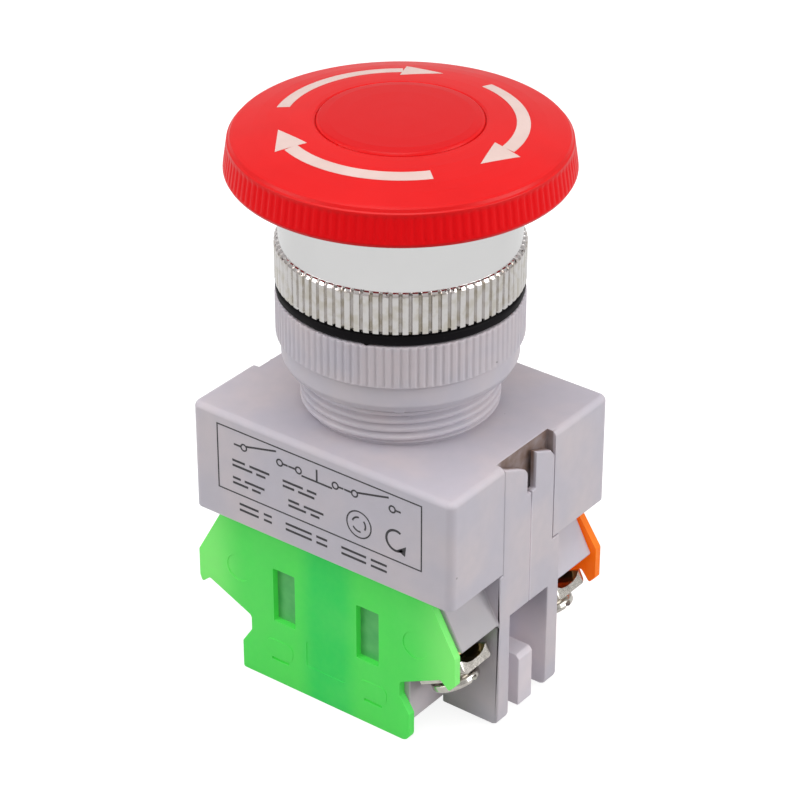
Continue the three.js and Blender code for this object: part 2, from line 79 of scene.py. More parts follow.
# camera, from a fit to the photograph
CAMERA_AZIMUTH = 37.37
CAMERA_ELEVATION = 30.63
CAMERA_DISTANCE = 0.35266
CAMERA_LENS = 135.07
CAMERA_SHIFT_RIGHT = -0.00007
CAMERA_TARGET_Z = 0.035983


def box_mm(node):
    """Lowest and highest corner of a CAD node in millimetres."""
    low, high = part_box(node)
    return low / MM, high / MM


# ---------- outlines ----------


def corner_arc(before, corner, after, radius, steps):
    """Points that round one corner of an outline, using less than half of each side."""
    corner = np.array(corner, float)
    sides = [np.array(point, float) - corner for point in (before, after)]
    lengths = [np.linalg.norm(side) for side in sides]
    to_before, to_after = (side / length for side, length in zip(sides, lengths))
    half = math.acos(max(-1.0, min(1.0, float(to_before @ to_after)))) / 2
    reach = min(radius / math.tan(half), 0.48 * min(lengths))
    middle = to_before + to_after
    middle /= np.linalg.norm(middle)
    centre = corner + middle * reach / math.cos(half)
    start = corner + to_before * reach - centre
    end = corner + to_after * reach - centre
    sweep = math.pi - 2 * half
    points = []
    for k in range(steps + 1):
        share = k / steps
        mixed = start * math.sin((1 - share) * sweep) + end * math.sin(share * sweep)
        points.append(tuple(centre + mixed / math.sin(sweep)))
    return points


def rounded(outline, steps=5):
    """Closed outline of (a, b, radius) corners as (a, b) points, with each corner rounded."""
    points = []
    count = len(outline)
    for k, (a, b, radius) in enumerate(outline):
        if radius <= 0:
            points.append((a, b))
            continue
        before = outline[k - 1][:2]
        after = outline[(k + 1) % count][:2]
        points.extend(corner_arc(before, (a, b), after, radius, steps))
    return points


def refined(points, longest):
    """The closed loop with extra points, so that no side is longer than the given length."""
    made = []
    for k, start in enumerate(points):
        end = points[(k + 1) % len(points)]
        length = math.dist(start, end)
        cuts = max(1, math.ceil(length / longest))
        for c in range(cuts):
            share = c / cuts
            made.append((start[0] + (end[0] - start[0]) * share, start[1] + (end[1] - start[1]) * share))
    return made


def even_angles(count):
    """Angles of a full turn in equal steps."""
    return [2 * math.pi * k / count for k in range(count)]


def circle(a, b, radius, turns):
    """Points of a circle, or of an arc, at the given angles."""
    return [(a + radius * math.cos(turn), b + radius * math.sin(turn)) for turn in turns]


def mirrored(half):
    """Closed outline from its right half."""
    return half + [(-x, z, radius) for x, z, radius in reversed(half)]


def rectangle(a0, a1, b0, b1, radius=0.0, steps=4):
    """Outline of a rectangle with rounded corners."""
    corners = [(a0, b0, radius), (a1, b0, radius), (a1, b1, radius), (a0, b1, radius)]
    return rounded(corners, steps)


# ---------- meshes ----------


def add_object(name, data):
    """Puts a mesh, light or camera into the scene."""
    made = bpy.data.objects.new(name, data)
    bpy.context.scene.collection.objects.link(made)
    return made


def new_object(name, points_mm, faces):
    """Mesh object from points in millimetres."""
    mesh = bpy.data.meshes.new(name)
    mesh.from_pydata([tuple(p) for p in np.asarray(points_mm, float) * MM], [], faces)
    mesh.update()
    return add_object(name, mesh)


def clean(obj, sharp_degrees=35):
    """Merges doubles, turns the normals out and marks the sharp edges."""
    mesh = obj.data
    work = bmesh.new()
    work.from_mesh(mesh)
    bmesh.ops.remove_doubles(work, verts=work.verts, dist=1e-7)
    bmesh.ops.dissolve_degenerate(work, dist=1e-8, edges=work.edges)
    bmesh.ops.recalc_face_normals(work, faces=work.faces)
    for face in work.faces:
        face.smooth = True
    work.to_mesh(mesh)
    work.free()
    mesh.set_sharp_from_angle(angle=math.radians(sharp_degrees))
    return obj


def prism(name, outline, low, high, axis="y"):
    """Solid with a flat outline, between two heights along an axis."""
    count = len(outline)

    def place(a, b, height):
        return {"x": (height, a, b), "y": (a, height, b), "z": (a, b, height)}[axis]

    points = [place(a, b, low) for a, b in outline] + [place(a, b, high) for a, b in outline]
    faces = [tuple(range(count)), tuple(range(2 * count - 1, count - 1, -1))]
    for k in range(count):
        after = (k + 1) % count
        faces.append((k, k + count, after + count, after))
    return clean(new_object(name, points, faces))


def loop_faces(rows, columns, closed):
    """Faces over a grid of points whose rows are closed loops; the last row may meet the first."""
    faces = []
    for i in range(rows if closed else rows - 1):
        after = (i + 1) % rows * columns
        for j in range(columns):
            beside = (j + 1) % columns
            faces.append((i * columns + j, after + j, after + beside, i * columns + beside))
    return faces


def turned(name, profile, angles, shape=None, sharp_degrees=35):
    """Ring turned about Z from a closed (radius, z) loop; shape returns each point's new radius and z."""
    loop = np.array(profile, float)
    radius, height = np.broadcast_arrays(loop[None, :, 0], loop[None, :, 1])
    turn = np.array(angles, float)[:, None]
    radius = np.repeat(radius, len(angles), 0).copy()
    height = np.repeat(height, len(angles), 0).copy()
    if shape is not None:
        radius, height = shape(turn, radius, height)
    points = np.stack([radius * np.cos(turn), radius * np.sin(turn), height], -1).reshape(-1, 3)
    return clean(new_object(name, points, loop_faces(len(angles), len(loop), True)), sharp_degrees)


def tooth_angles(teeth, places):
    """Angles of a full turn with the same places, as shares of a tooth, on every tooth."""
    return [2 * math.pi * (k + place) / teeth for k in range(teeth) for place in places]


def smooth_step(value, low, high):
    """0 below low, 1 above high, smooth between."""
    share = np.clip((value - low) / (high - low), 0, 1)
    return share * share * (3 - 2 * share)


def away_from(turn, degrees, radius):
    """Distance round a ring from the place that is so many degrees left of the camera's side."""
    place = math.radians(CAMERA_AZIMUTH - 90 - degrees)
    return np.abs(np.mod(turn - place + math.pi, 2 * math.pi) - math.pi) * radius


def thread_rise(turn, height, pitch):
    """0 in the middle of a thread's groove, 1 on its crest."""
    phase = height / pitch - turn / (2 * math.pi)
    return np.abs(phase - np.round(phase)) * 2


def band(value, low, high, soft):
    """1 between low and high, fading to 0 over the soft length inside each end."""
    return smooth_step(value, low, low + soft) * (1 - smooth_step(value, high - soft, high))


def baked(obj):
    """Applies the object's modifiers."""
    bpy.context.view_layer.update()
    graph = bpy.context.evaluated_depsgraph_get()
    mesh = bpy.data.meshes.new_from_object(obj.evaluated_get(graph), depsgraph=graph)
    obj.modifiers.clear()
    old = obj.data
    obj.data = mesh
    bpy.data.meshes.remove(old)
    return obj


def carve(obj, *cutters, operation="DIFFERENCE"):
    """Cuts the cutters out of the object, or joins them to it, and removes them."""
    for cutter in cutters:
        step = obj.modifiers.new("carve", "BOOLEAN")
        step.operation = operation
        step.solver = "EXACT"
        step.object = cutter
        baked(obj)
        bpy.data.objects.remove(cutter)
    return clean(obj)


def soften(obj, width, segments=3, angle=35):
    """Rounds the object's edges and evens the shading of its flat faces."""
    bevel = obj.modifiers.new("edge_rounding", "BEVEL")
    bevel.width = width * MM
    bevel.segments = segments
    bevel.limit_method = "ANGLE"
    bevel.angle_limit = math.radians(angle)
    obj.modifiers.new("even_shading", "WEIGHTED_NORMAL")
    return obj


def joined(name, objects):
    """One object from several, without touching their shapes."""
    whole = bmesh.new()
    for piece in objects:
        whole.from_mesh(piece.data)
    mesh = bpy.data.meshes.new(name)
    whole.to_mesh(mesh)
    whole.free()
    for piece in objects:
        bpy.data.objects.remove(piece)
    return add_object(name, mesh)


def dress(obj, material, body, slot, *nodes):
    """Gives a new piece its material and body and hides the CAD nodes that it stands for; slot is not used."""
    obj.data.materials.clear()
    obj.data.materials.append(material)
    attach(obj, body)
    if nodes:
        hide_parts(*nodes)
    return obj


# ---------- material helpers ----------


class Look:
    """A procedural material under construction; sizes of its patterns are in millimetres."""

    def __init__(self, name):
        self.material = bpy.data.materials.new(name)
        self.material.use_nodes = True
        self.nodes = self.material.node_tree.nodes
        self.links = self.material.node_tree.links
        self.shader = self.nodes["Principled BSDF"]
        self.place = self.nodes.new("ShaderNodeTexCoord").outputs["Object"]

    def put(self, target, value):
        """Sets or links one input."""
        if isinstance(value, bpy.types.NodeSocket):
            self.links.new(value, target)
        elif isinstance(value, (tuple, list)) and len(value) == 3 and len(target.default_value) == 4:
            target.default_value = (*value, 1.0)
        else:
            target.default_value = value

    def set(self, **inputs):
        """Sets the shader's inputs; underscores stand for spaces."""
        for key, value in inputs.items():
            self.put(self.shader.inputs[key.replace("_", " ")], value)

    def node(self, kind, output, **inputs):
        """One output of a new node; underscores in its inputs' names stand for spaces."""
        made = self.nodes.new(kind)
        for key, value in inputs.items():
            self.put(made.inputs[key.replace("_", " ")], value)
        return made.outputs[output]

    def inside(self, weight, radius, depth):
        """Light that spreads under the surface: its share, its reach by colour and its depth."""
        self.set(Subsurface_Weight=weight, Subsurface_Radius=radius, Subsurface_Scale=depth * MM)

    def noise(self, size, detail=2.0, roughness=0.5):
        """Noise whose blotches are about the given size."""
        shape = {"Scale": 1 / (size * MM), "Detail": detail, "Roughness": roughness}
        return self.node("ShaderNodeTexNoise", "Fac", Vector=self.place, **shape)

    def cells(self, size):
        """Distance to the nearest of scattered points about the given size apart."""
        return self.node("ShaderNodeTexVoronoi", "Distance", Vector=self.place, Scale=1 / (size * MM))

    def ramp(self, value, low, high, from_value=0.0, to_value=1.0):
        """Maps low..high to from_value..to_value, smooth and clamped."""
        limits = {"From_Min": low, "From_Max": high, "To_Min": from_value, "To_Max": to_value}
        result = self.node("ShaderNodeMapRange", "Result", Value=value, **limits)
        result.node.interpolation_type = "SMOOTHSTEP"
        return result

    def mix(self, factor, first, second):
        """Colour between two colours."""
        node = self.nodes.new("ShaderNodeMix")
        node.data_type = "RGBA"
        self.put(node.inputs[0], factor)
        self.put(node.inputs[6], first)
        self.put(node.inputs[7], second)
        return node.outputs[2]

    def math(self, operation, first, second=0.0):
        """Arithmetic on two values."""
        node = self.nodes.new("ShaderNodeMath")
        node.operation = operation
        self.put(node.inputs[0], first)
        self.put(node.inputs[1], second)
        return node.outputs["Value"]

    def times(self, first, second):
        """Product of two values."""
        return self.math("MULTIPLY", first, second)

    def axis(self, name):
        """One coordinate, in metres."""
        return self.node("ShaderNodeSeparateXYZ", name, Vector=self.place)

    def beyond(self, name):
        """Distance from the middle along one axis, in metres."""
        return self.math("ABSOLUTE", self.axis(name))

    def mask(self, *limits):
        """Product of ramps; each limit is (value in metres, from mm, to mm) and rises from 0 to 1.

        A limit whose first length is the larger one falls from 1 to 0 instead.
        """
        product = None
        for value, start, end in limits:
            rising = start < end
            low, high = sorted((start * MM, end * MM))
            part = self.ramp(value, low, high, 0.0 if rising else 1.0, 1.0 if rising else 0.0)
            product = part if product is None else self.times(product, part)
        return product

    def bump(self, *layers):
        """Stacks (height socket, depth in mm) layers into the shader's normal."""
        below = {}
        for height, depth in layers:
            below.update(Strength=1.0, Distance=depth * MM, Height=height)
            normal = self.node("ShaderNodeBump", "Normal", **below)
            below = {"Normal": normal}
        self.set(**below)
        return normal

    def finished(self, tone, roughness, *layers, **others):
        """The material, with its colour, roughness, bump layers and other inputs set."""
        self.set(Base_Color=tone, Roughness=roughness, **others)
        self.bump(*layers)
        return self.material


# ---------- materials ----------


def slot_shade_mask(look):
    """Painted shade: 1 on the back of the slots in the base's ends near its top, fading downwards, 0 elsewhere."""
    out = look.beyond("X")
    height = look.axis("Z")
    end = box_mm("base_housing")[1].x
    roof = face_height()
    return look.mask(
        (out, end - 1.5, end - 1.4),
        (out, end - 0.25, end - 0.55),
        (look.beyond("Y"), 5.6, 4.2),
        (height, 29.0, 33.5),
        (height, roof - 0.02, roof - 0.12),
    )


def end_wall_shade_mask(look):
    """Painted shade: 1 on the sloping end walls over the front block's terminals, fading towards the base."""
    height = look.axis("Z")
    fading = look.ramp(height, 15.0 * MM, 21.9 * MM, 1.0, 0.3)
    walls = look.mask((look.beyond("X"), 13.0, 14.0), (look.axis("Y"), -6.05, -6.2), (height, 21.8, 21.75))
    return look.times(walls, fading)


def recess_glow_mask(look):
    """Painted light: a glow added in the recess between the contact blocks' flanges and in the blocks' seam."""
    recess_glow_strength = 0.17
    seam_glow_strength = 0.2
    out = look.beyond("X")
    beside = look.beyond("Y")
    height = look.axis("Z")
    recess = look.mask((out, 11.35, 11.5), (beside, 3.9, 3.85), (height, 14.0, 7.0))
    seam = look.mask((out, 17.9, 17.95), (beside, 0.3, 0.05), (height, 14.5, 15.5), (height, 30.0, 28.0))
    recess_glow = look.times(recess, recess_glow_strength)
    return look.math("MAXIMUM", recess_glow, look.times(seam, seam_glow_strength))


def white_plastic():
    """Satin off-white moulding with a faint mauve cast, pinkish clouds and a few specks."""
    look = Look("white_plastic")
    clouds = look.noise(9, 2)
    mottle = look.noise(1.6, 3)
    tone = look.mix(look.ramp(clouds, 0.35, 0.68), (0.545, 0.515, 0.575), (0.61, 0.55, 0.58))
    tone = look.mix(look.ramp(mottle, 0.3, 0.75, 0.0, 0.22), tone, (0.5, 0.485, 0.53))
    # Painted shade: the back of the end slots is darkened to brown.
    slot = look.times(slot_shade_mask(look), look.ramp(mottle, 0.2, 0.7, 0.7, 1.0))
    tone = look.mix(slot, tone, (0.2, 0.13, 0.105))
    specks = look.ramp(look.cells(5.5), 0.025, 0.035, 1.0, 0.0)
    tone = look.mix(look.times(specks, 0.55), tone, (0.16, 0.14, 0.13))
    # Painted shade: the sloping end walls over the front block's terminals are darkened to grey.
    tone = look.mix(look.times(end_wall_shade_mask(look), 0.45), tone, (0.3, 0.31, 0.3))
    look.inside(0.18, (1.0, 0.85, 0.8), 0.7)
    # Painted light: the recess and the seam glow in the plastic's own colour.
    look.set(Emission_Color=tone, Emission_Strength=recess_glow_mask(look))
    layers = ((look.noise(0.22, 2), 0.004), (look.noise(2.4, 1), 0.02))
    roughness = look.ramp(mottle, 0.2, 0.8, 0.4, 0.52)
    return look.finished(tone, roughness, *layers, IOR=1.47, Specular_IOR_Level=0.42)


def red_plastic():
    """Semi-gloss red ABS with slight flow waviness and fine grain, duller below its top edge."""
    look = Look("red_plastic")
    flow = look.noise(11, 2)
    grain = look.noise(0.35, 2)
    height = look.axis("Z")
    # Painted light: below its top edge the rim's side is a brighter red than the dome, standing in for the light
    # that falls on it.
    top = look.mask((height, 69.6, 70.4))
    disc = look.mask((height, 72.5, 72.65))
    dome = look.mix(look.ramp(flow, 0.3, 0.7), (0.65, 0.003, 0.004), (0.7, 0.004, 0.005))
    tone = look.mix(top, (0.8, 0.003, 0.006), look.mix(disc, dome, (0.6, 0.004, 0.006)))
    top_sheen = look.times(top, look.ramp(disc, 0, 1, 0.15, 0.08))
    look.inside(0.1, (1.0, 0.15, 0.12), 0.5)
    look.set(IOR=1.45, Specular_IOR_Level=look.math("ADD", 0.12, top_sheen))
    roughness = look.ramp(look.noise(3, 3), 0.15, 0.85, 0.29, 0.35)
    return look.finished(tone, roughness, (grain, 0.0012), (look.noise(6, 1), 0.03))


def arrow_ink():
    """White pad print, thin enough for a little red to show in its pores."""
    look = Look("arrow_ink")
    pores = look.noise(0.3, 3, 0.6)
    wash = look.noise(3.5, 2)
    tone = look.mix(look.ramp(wash, 0.3, 0.7), (0.65, 0.48, 0.44), (0.69, 0.52, 0.48))
    tone = look.mix(look.ramp(pores, 0.3, 0.2, 0.0, 0.75), tone, (0.74, 0.17, 0.15))
    return look.finished(tone, look.ramp(pores, 0.2, 0.8, 0.38, 0.55), (pores, 0.004), IOR=1.45)


def chrome():
    """Bright chrome plating with faint waviness, small pits at the step and a painted reflection of the red cap
    there as a reddish tint.
    """
    look = Look("chrome")
    step = box_mm("bezel_ring")[0].z + 5.1
    height = look.axis("Z")
    near_step = look.mask((height, step - 0.55, step - 0.1), (height, step + 0.3, step + 0.12))
    pits = look.ramp(look.noise(0.5, 3, 0.65), 0.6, 0.66)
    pitted = look.times(near_step, pits)
    skirt = look.mask((height, step, step - 0.2))
    tone = look.mix(look.noise(7, 2), (0.69, 0.69, 0.69), (0.75, 0.745, 0.74))
    # The knurled skirt below the step is darker than the barrel, blotched with olive.
    skirt_blotches = look.ramp(look.noise(1.3, 2), 0.4, 0.65)
    tone = look.mix(skirt, tone, look.mix(skirt_blotches, (0.64, 0.62, 0.61), (0.56, 0.53, 0.48)))
    # Painted reflection: a reddish tint at the step stands in for the red cap mirrored there.
    tone = look.mix(look.times(near_step, 0.15), tone, (0.4, 0.2, 0.15))
    tone = look.mix(pitted, tone, (0.05, 0.035, 0.03))
    polish = look.ramp(look.noise(1.1, 3), 0.3, 0.7, 0.1, 0.2)
    roughness = look.math("ADD", polish, look.times(pitted, 0.4))
    hollows = look.ramp(pitted, 0, 1, 1.0, 0.0)
    layers = ((look.noise(0.12, 2), 0.0006), (look.noise(3.2, 1), 0.012), (hollows, 0.03))
    return look.finished(tone, roughness, *layers, Metallic=1.0)


def gasket_rubber():
    """Matt black rubber with fine grain, dust and a soft sheen."""
    look = Look("gasket_rubber")
    dust = look.ramp(look.noise(0.45, 4, 0.7), 0.62, 0.78)
    tone = look.mix(look.noise(2.5, 2), (0.003, 0.0025, 0.0035), (0.006, 0.005, 0.006))
    tone = look.mix(look.times(dust, 0.35), tone, (0.06, 0.055, 0.06))
    layers = ((look.noise(0.18, 3), 0.006), (look.noise(1.8, 2), 0.03))
    roughness = look.ramp(dust, 0, 1, 0.5, 0.75)
    return look.finished(tone, roughness, *layers, IOR=1.4, Specular_IOR_Level=0.1)


def translucent_plastic(name, colours, thin_colour, through, painted_glow):
    """Coloured see-through moulding: clouded, with painted shade darkening its middle and painted light making its
    ears paler, lit from behind.

    through is the share of light that passes straight on; the last argument is the strength of a painted glow over
    the whole cover.
    """
    deep, main, pale = colours
    look = Look(name)
    side = look.beyond("X")
    clouds = look.noise(8, 1)
    fine = look.noise(0.9, 3)
    # Painted shade: the middle of the cover is darker.
    tone = look.mix(look.mask((side, 1.6, 5.0)), deep, main)
    tone = look.mix(look.ramp(clouds, 0.3, 0.7, 0.0, 0.12), tone, deep)
    # Painted light: the ears are paler, standing in for light from behind.
    ears = look.math("ADD", look.mask((side, 12.0, 19.0)), look.ramp(clouds, 0.45, 0.8, 0.0, 0.12))
    tone = look.mix(look.math("MINIMUM", ears, 1.0), tone, pale)
    tone = look.mix(look.ramp(fine, 0.3, 0.8, 0.0, 0.06), tone, pale)
    look.inside(0.3, tuple(2.0 * c + 0.1 for c in main), 0.9)
    look.set(Base_Color=tone, Roughness=look.ramp(fine, 0.2, 0.8, 0.3, 0.42))
    # Painted light: the whole cover glows at the strength of the last argument.
    look.set(IOR=1.5, Specular_IOR_Level=0.35, Emission_Color=tone, Emission_Strength=painted_glow)
    normal = look.bump((look.noise(0.3, 2), 0.003), (look.noise(3, 1), 0.03))
    glow = look.node("ShaderNodeBsdfTranslucent", "BSDF", Color=thin_colour, Normal=normal)
    blend = look.node("ShaderNodeMixShader", "Shader", Fac=through)
    look.links.new(look.shader.outputs["BSDF"], blend.node.inputs[1])
    look.links.new(glow, blend.node.inputs[2])
    look.links.new(blend, look.nodes["Material Output"].inputs["Surface"])
    return look.material


def green_plastic():
    """Green see-through cover, with a painted glow."""
    colours = ((0.035, 0.68, 0.12), (0.1, 0.78, 0.12), (0.27, 0.92, 0.22))
    return translucent_plastic("green_plastic", colours, (0.1, 1.0, 0.1), 0.2, 0.14)


def orange_plastic():
    """Orange cover, with a painted glow."""
    colours = ((0.95, 0.16, 0.0), (1.0, 0.19, 0.0), (1.0, 0.27, 0.01))
    return translucent_plastic("orange_plastic", colours, (1.0, 0.2, 0.004), 0.35, 0.22)


def window_shade_plastic(name, low, high):
    """Painted shade and tinted light: dull, darker colour for the latch face seen at the bottom of a cover's
    window.
    """
    look = Look(name)
    clouds = look.noise(2.2, 3)
    tone = look.mix(look.ramp(clouds, 0.3, 0.7), low, high)
    return look.finished(tone, look.ramp(clouds, 0.2, 0.8, 0.4, 0.6), (look.noise(0.3, 2), 0.006))


def black_plastic():
    """Black glass-filled nylon with grain and rubbed grey edges."""
    look = Look("black_plastic")
    grain = look.noise(0.25, 4, 0.6)
    tone = look.mix(look.noise(3, 2), (0.018, 0.018, 0.02), (0.035, 0.034, 0.036))
    rubbed = look.ramp(look.node("ShaderNodeNewGeometry", "Pointiness"), 0.52, 0.62)
    tone = look.mix(rubbed, tone, (0.09, 0.09, 0.09))
    return look.finished(tone, look.ramp(grain, 0.3, 0.7, 0.42, 0.6), (grain, 0.01))


def metal(name, low, high, stain, roughness, grain_mm):
    """Plated or bare metal with brushed variation, stains and small dents."""
    look = Look(name)
    blotches = look.noise(1.6, 3)
    fine = look.noise(grain_mm, 3, 0.6)
    tone = look.mix(look.ramp(blotches, 0.3, 0.7), low, high)
    tone = look.mix(look.ramp(look.noise(0.9, 3, 0.6), 0.58, 0.76, 0.0, 0.5), tone, stain)
    brushed = look.ramp(fine, 0.25, 0.75, roughness, roughness + 0.1)
    return look.finished(tone, brushed, (fine, 0.001), (look.noise(1.4, 1), 0.02), Metallic=1.0)


def print_ink():
    """Black print, slightly uneven, with the plastic showing at its thin spots."""
    look = Look("print_ink")
    thin = look.noise(0.25, 3)
    tone = look.mix(look.ramp(thin, 0.3, 0.18), (0.025, 0.022, 0.027), (0.14, 0.13, 0.14))
    return look.finished(tone, look.ramp(thin, 0.2, 0.8, 0.35, 0.5), (thin, 0.003))


def floor_finish():
    """Plain pale backdrop: bright to the eye and in reflections, but a weak bounce light."""
    look = Look("floor_finish")
    cloud = look.noise(60, 2)
    tone = look.mix(cloud, (0.29, 0.29, 0.29), (0.31, 0.31, 0.31))
    look.set(Base_Color=tone, Roughness=0.9, Specular_IOR_Level=0.0)
    seen = look.times(look.node("ShaderNodeLightPath", "Is Camera Ray"), FLOOR_SEEN)
    mirrored = look.times(look.node("ShaderNodeLightPath", "Is Glossy Ray"), FLOOR_MIRRORED)
    look.set(Emission_Color=(1.0, 1.0, 1.0), Emission_Strength=look.math("ADD", seen, mirrored))
    return look.material


# ---------- base, neck, nut, gasket, bezel ----------

NECK_RADIUS = 11.8
NECK_BORE = 9.8
NECK_LIP = 8.2
ROOF = 2.0


def face_height():
    """Height of the base's top face, from the record's mount."""
    mount = next(m for m in frame["record"]["mounts"] if m["name"] == "base_top_face")
    return mount["pos_m"][2] / MM


def base_shell(material):
    """Square base: soft outer edges, sharp slots in both ends, hollow from below."""
    low, high = box_mm("base_housing")
    top = face_height()
    corner = 1.05
    rim_rounding = 0.8
    shell = prism("base_shell", rectangle(low.x, high.x, low.y, high.y, corner, 8), low.z, top, "z")
    work = bmesh.new()
    work.from_mesh(shell.data)
    rim = [edge for edge in work.edges if all(abs(v.co.z / MM - top) < 1e-3 for v in edge.verts)]
    bmesh.ops.bevel(work, geom=rim, offset=rim_rounding * MM, segments=6, profile=0.5, affect="EDGES")
    work.to_mesh(shell.data)
    work.free()
    slot_wide = 5.5
    slot_narrow = 4.6
    slot_depth = 1.3
    cutters = []
    for end in BOTH_ENDS:
        floor, out = sorted((end * (high.x - slot_depth), end * (high.x + 1)))
        near, far = sorted((-end * slot_wide, end * slot_narrow))
        cutters.append(prism("slot", rectangle(floor, out, near, far), low.z - 1, top + 1, "z"))
    cavity = rectangle(low.x + 3.2, high.x - 3.2, low.y + 1.8, high.y - 1.8, 0.6)
    cutters.append(prism("cavity", cavity, low.z - 1, top - ROOF, "z"))
    cutters.append(prism("lip_bore", circle(0, 0, NECK_LIP, even_angles(64)), low.z, top + 1, "z"))
    carve(shell, *cutters)
    soften(shell, 0.14, 2, 50)
    return dress(shell, material, "base", "white_plastic", "base_housing")


THREAD_PITCH = 1.07


def neck_thread(material):
    """Threaded neck: broad rounded ridges with narrow grooves, above a narrow relief."""
    top = box_mm("base_housing")[1].z
    root = face_height()
    relief = 10.9
    thread_from = root + 0.65
    profile = [
        (NECK_LIP, root - ROOF + 0.4, 0), (relief, root - ROOF + 0.4, 0),
        (relief, thread_from - 0.1, 0.1), (NECK_RADIUS, thread_from + 0.15, 0.1),
        (NECK_RADIUS, top, 0.3), (NECK_BORE, top, 0.2), (NECK_BORE, root + 0.3, 0),
        (NECK_LIP, root + 0.3, 0),
    ]
    loop = refined(rounded(profile, 3), THREAD_PITCH / 11)
    coarse = []
    for k, (r, z) in enumerate(loop):
        outside = r > NECK_RADIUS - 0.4 and z > root
        if outside or k % 12 == 0 or (r, z) in [(p[0], p[1]) for p in profile]:
            coarse.append((r, z))

    def cut(turn, radius, height):
        near = thread_rise(turn, height, THREAD_PITCH)
        groove = 1 - smooth_step(near, 0.0, 0.62)
        crown = 0.07 * smooth_step(near, 0.35, 1.0)
        depth = 0.5 * groove + 0.07 - crown
        weight = (radius > NECK_RADIUS - 0.35) * smooth_step(height, thread_from, thread_from + 0.3)
        weight = weight * (1 - smooth_step(height, top - 0.5, top))
        return radius - weight * depth, height

    neck = turned("neck_thread", coarse, even_angles(216), cut, 60)
    return dress(neck, material, "base", "white_plastic", "base_housing")


def knurl_places(groove):
    """Places on a tooth, as shares, that catch the sides of its groove."""
    near = (groove * 0.55, groove, groove + 0.08, 0.35)
    return (0.0, *near, 0.5, *(1 - place for place in reversed(near)))


def knurl(turn, teeth, groove, depth, crown):
    """Depth below the crest round a knurl: grooves between slightly rounded teeth."""
    share = np.mod(turn * teeth / (2 * math.pi), 1.0)
    near = np.minimum(share, 1 - share)
    cut = 1 - smooth_step(near, groove * 0.35, groove)
    roundness = 4 * (near - 0.5) ** 2
    return depth * cut + crown * roundness


NUT_TEETH = 96


def mounting_nut(material):
    """White clamping nut: shallow soft knurl above, plain skirt with a moulding flash below."""
    low, high = box_mm("mounting_nut")
    crest = high.x
    skirt = crest - 0.6
    bore = NECK_RADIUS + 0.3
    step = low.z + 3.35
    groove = 0.27
    knurl_depth = 0.13
    flash_drop = 0.13
    profile = [
        (bore, low.z, 0.15), (skirt - 0.5, low.z, 0.2), (skirt, low.z + 0.9, 0.8),
        (skirt, step - 0.1, 0.25), (crest, step + 0.3, 0.3), (crest, high.z, 0.25),
        (bore, high.z, 0.15),
    ]
    loop = refined(rounded(profile, 5), 0.32)

    def cut(turn, radius, height):
        weight = smooth_step(radius, skirt + 0.1, crest) * smooth_step(height, step + 0.15, step + 0.55)
        depth = knurl(turn, NUT_TEETH, groove, knurl_depth, 0.04)
        away = away_from(turn, 0.5, skirt)
        flash = (1 - smooth_step(away, 0.45, 0.62)) * (radius > bore + 0.2) * (height < low.z + 0.5)
        return radius - weight * depth, height - flash_drop * flash * (radius < skirt - 0.2)

    nut = turned("mounting_nut_knurled", loop, tooth_angles(NUT_TEETH, knurl_places(groove)), cut, 50)
    return dress(nut, material, "nut", "white_plastic", "mounting_nut")


def gasket(material):
    """Black sealing ring, slightly uneven round its edge, with one small torn tip."""
    low, high = box_mm("panel_gasket")
    outer = high.x
    inner = NECK_RADIUS + 0.3
    profile = [(inner, low.z, 0.2), (outer, low.z, 0.4), (outer, high.z, 0.4), (inner, high.z, 0.2)]

    def uneven(turn, radius, height):
        wave = 0.035 * np.sin(5 * turn + 0.7) + 0.025 * np.sin(11 * turn) + 0.015 * np.sin(23 * turn + 2)
        outside = smooth_step(radius, outer - 1.2, outer)
        away = away_from(turn, 15.5, outer)
        tip = np.clip(1 - away / 0.45, 0, 1) * outside * (height < low.z + 0.45)
        return radius + outside * (wave + 0.02 * tip), height - 0.3 * tip

    ring = turned("gasket_ring", refined(rounded(profile, 5), 0.3), even_angles(720), uneven, 60)
    return dress(ring, material, "base", "gasket_rubber", "panel_gasket")


BEZEL_TEETH = 82


def bezel(material):
    """Chrome bezel: deep-cut knurled skirt, a chamfered step and a plain mirror cylinder."""
    low, high = box_mm("bezel_ring")
    crest = high.x
    barrel = crest - 0.47
    step = low.z + 5.1
    bore = 12.5
    collar = 8.6
    groove = 0.2
    knurl_depth = 0.42
    seat = box_mm("base_housing")[1].z + 0.3
    profile = [
        (NECK_RADIUS + 0.3, low.z, 0.1), (crest, low.z, 0.3), (crest, step - 0.26, 0.1),
        (crest - 0.24, step + 0.08, 0.08), (barrel, step + 0.16, 0.05), (barrel, high.z, 0.3),
        (bore, high.z, 0.2), (bore, seat + 1, 0.2), (collar, seat + 1, 0.1), (collar, seat, 0.1),
        (NECK_RADIUS + 0.3, seat, 0.1),
    ]
    loop = refined(rounded(profile, 5), 0.45)

    def cut(turn, radius, height):
        weight = smooth_step(radius, barrel, crest - 0.12) * (height < step + 0.3)
        share = np.floor(turn * BEZEL_TEETH / (2 * math.pi))
        uneven = 0.03 * np.sin(share * 12.9898) * np.sin(share * 4.137)
        depth = knurl(turn, BEZEL_TEETH, groove, knurl_depth, 0.05) + np.abs(uneven)
        return radius - weight * depth, height

    ring = turned("bezel_knurled", loop, tooth_angles(BEZEL_TEETH, knurl_places(groove)), cut, 40)
    return dress(ring, material, "base", "chrome", "bezel_ring")


# ---------- mushroom head ----------

RIM_TEETH = 119
DOME = [(10.6, 72.4), (12.2, 72.25), (13.6, 72.05), (15.1, 71.8), (16.5, 71.5), (18.7, 70.92)]


def dome_height(radius):
    """Height of the head's sloping top at a radius."""
    return np.interp(radius, [p[0] for p in DOME], [p[1] for p in DOME])


